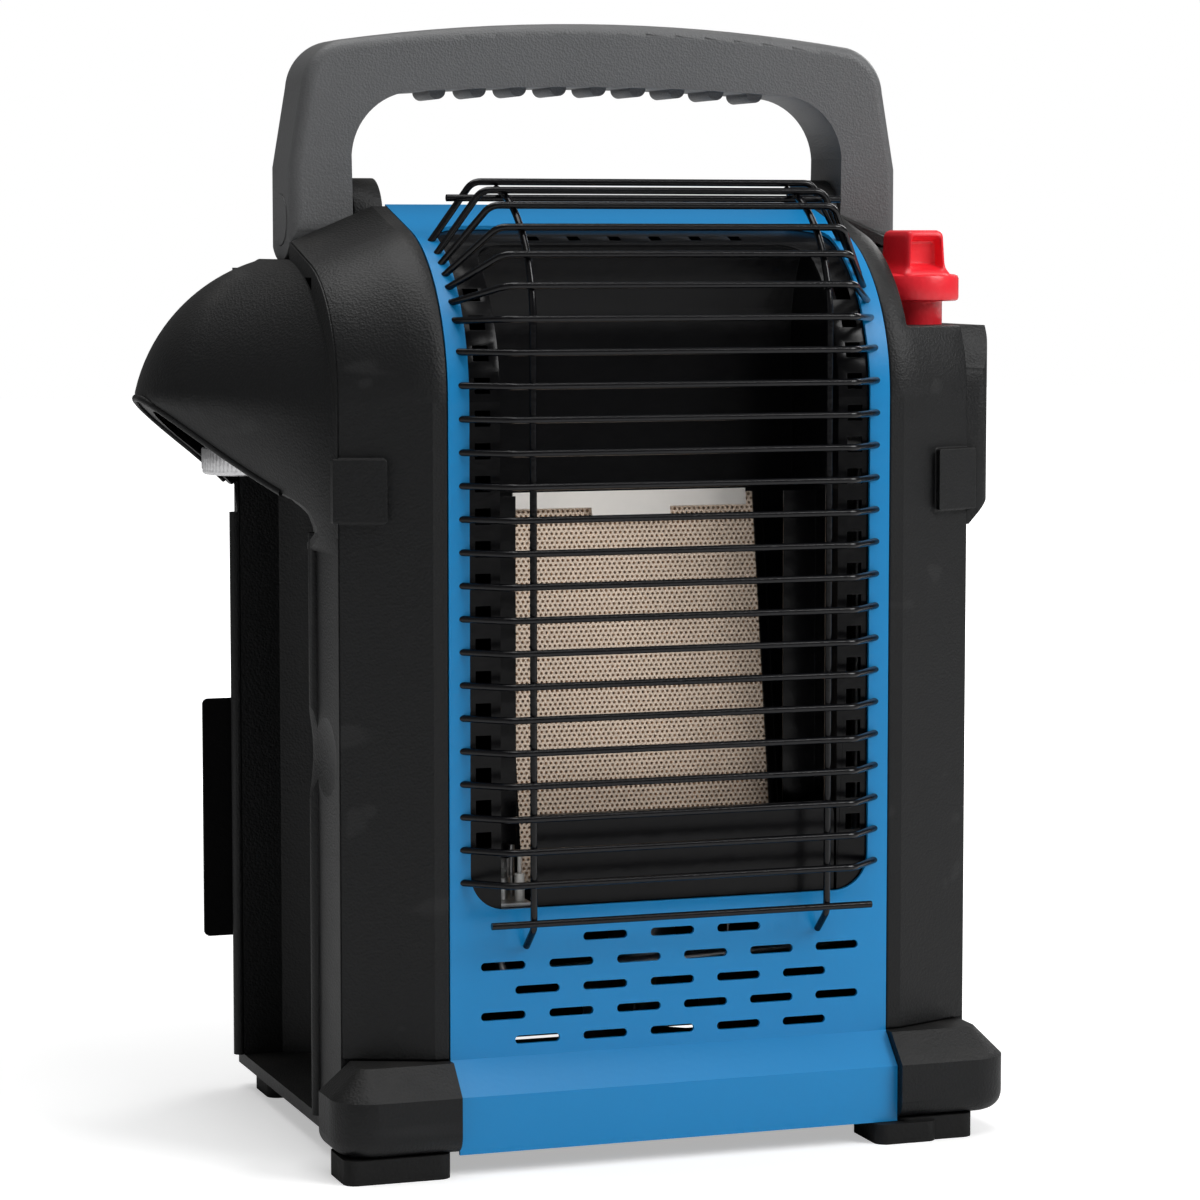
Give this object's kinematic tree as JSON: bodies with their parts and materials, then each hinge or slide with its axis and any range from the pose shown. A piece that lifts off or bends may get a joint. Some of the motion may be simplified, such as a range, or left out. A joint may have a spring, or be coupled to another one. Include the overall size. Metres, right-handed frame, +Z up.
{
  "type": "portable propane heater",
  "caption": "Portable gas heater: blue front sheet, black side mouldings, ceramic burner behind a wire guard, folding carrying handle, regulator under a side hood.",
  "frame": {"origin": "on the ground under the middle of the heater's bounding box", "axes": "+Z up, +Y to the rear, +X to the right seen from the front, so the burner faces -Y"},
  "size_m": [0.2751, 0.1681, 0.3738],
  "materials": {
    "blue_paint": "satin",
    "black_moulding": "fine matt texture",
    "black_grip": "satin",
    "knob_red": "satin",
    "black_enamel": "gloss",
    "clip_steel": "bright",
    "dark_sheet": "matt heatproof",
    "black_wire": "semi-gloss",
    "tile_ceramic": "matt, fine holes",
    "fibre_packing": "matt",
    "inner_steel": "plain",
    "brass_fitting": "plain",
    "cast_alloy": "cast",
    "regulator_coat": "matt",
    "foot_rubber": "matt",
    "seal_rubber": "matt",
    "insulator": "matt",
    "spring_steel": "bright",
    "switch_plastic": "matt"
  },
  "bodies": {
    "heater": {"front_panel": "blue_paint", "left_column": "black_moulding", "right_column": "black_moulding", "right_cover": "black_moulding", "left_cover": "black_moulding", "burner_liner": "black_enamel", "lower_trim": "black_enamel", "burner_frame": "black_enamel", "ceramic_tile": "tile_ceramic", "tile_gasket": "fibre_packing", "tile_top_clip": "clip_steel", "burner_plenum": "inner_steel", "mixing_tube": "inner_steel", "gas_orifice": "brass_fitting", "orifice_bracket": "inner_steel", "pilot_bracket": "inner_steel", "pilot_burner": "inner_steel", "spark_electrode": "insulator", "flame_sensor": "inner_steel", "pilot_tube": "inner_steel", "gas_valve": "cast_alloy", "valve_bracket": "inner_steel", "piezo_igniter": "switch_plastic", "tip_over_switch": "switch_plastic", "supply_tube": "inner_steel", "burner_feed_tube": "inner_steel", "heat_shield": "inner_steel", "base_tray": "dark_sheet", "back_panel": "dark_sheet", "cylinder_stop_plate": "dark_sheet", "stop_plate_screws": "inner_steel", "front_left_foot": "foot_rubber", "front_right_foot": "foot_rubber", "rear_left_foot": "foot_rubber", "rear_right_foot": "foot_rubber", "guard_cross_wires": "black_wire", "guard_uprights": "black_wire", "guard_edge_wires": "black_wire", "handle_pins": "inner_steel", "return_spring": "spring_steel", "swivel_outlet": "brass_fitting"},
    "carrying_handle": {"handle": "black_grip", "pivot_caps": "black_grip"},
    "regulator": {"regulator_body": "regulator_coat", "regulator_cap": "regulator_coat", "inlet_fitting": "cast_alloy", "inlet_seal": "seal_rubber", "inlet_pin": "brass_fitting"},
    "push_collar": {"stem_collar": "inner_steel"},
    "gas_knob": {"knob": "knob_red", "valve_stem": "brass_fitting"}
  },
  "joints": [
    {"name": "handle_fold", "type": "hinge", "parent": "heater", "child": "carrying_handle", "pos_m": [0, 0.0155, 0.3075], "axis": [-1, 0, 0], "range_deg": [0, 90]},
    {"name": "regulator_swivel", "type": "hinge", "parent": "heater", "child": "regulator", "pos_m": [-0.1014, 0.0225, 0.257], "axis": [0, 1, 0], "range_deg": [0, 38]},
    {"name": "knob_press", "type": "slide", "parent": "heater", "child": "push_collar", "axis": [0, 0, -1], "range_m": [0, 0.004], "stiffness_N_per_m": 900, "springref_m": -0.004, "deforming": ["return_spring"]},
    {"name": "knob_turn", "type": "hinge", "parent": "push_collar", "child": "gas_knob", "pos_m": [0.1206, -0.0295, 0.285], "axis": [0, 0, 1], "range_deg": [0, 170]}
  ]
}
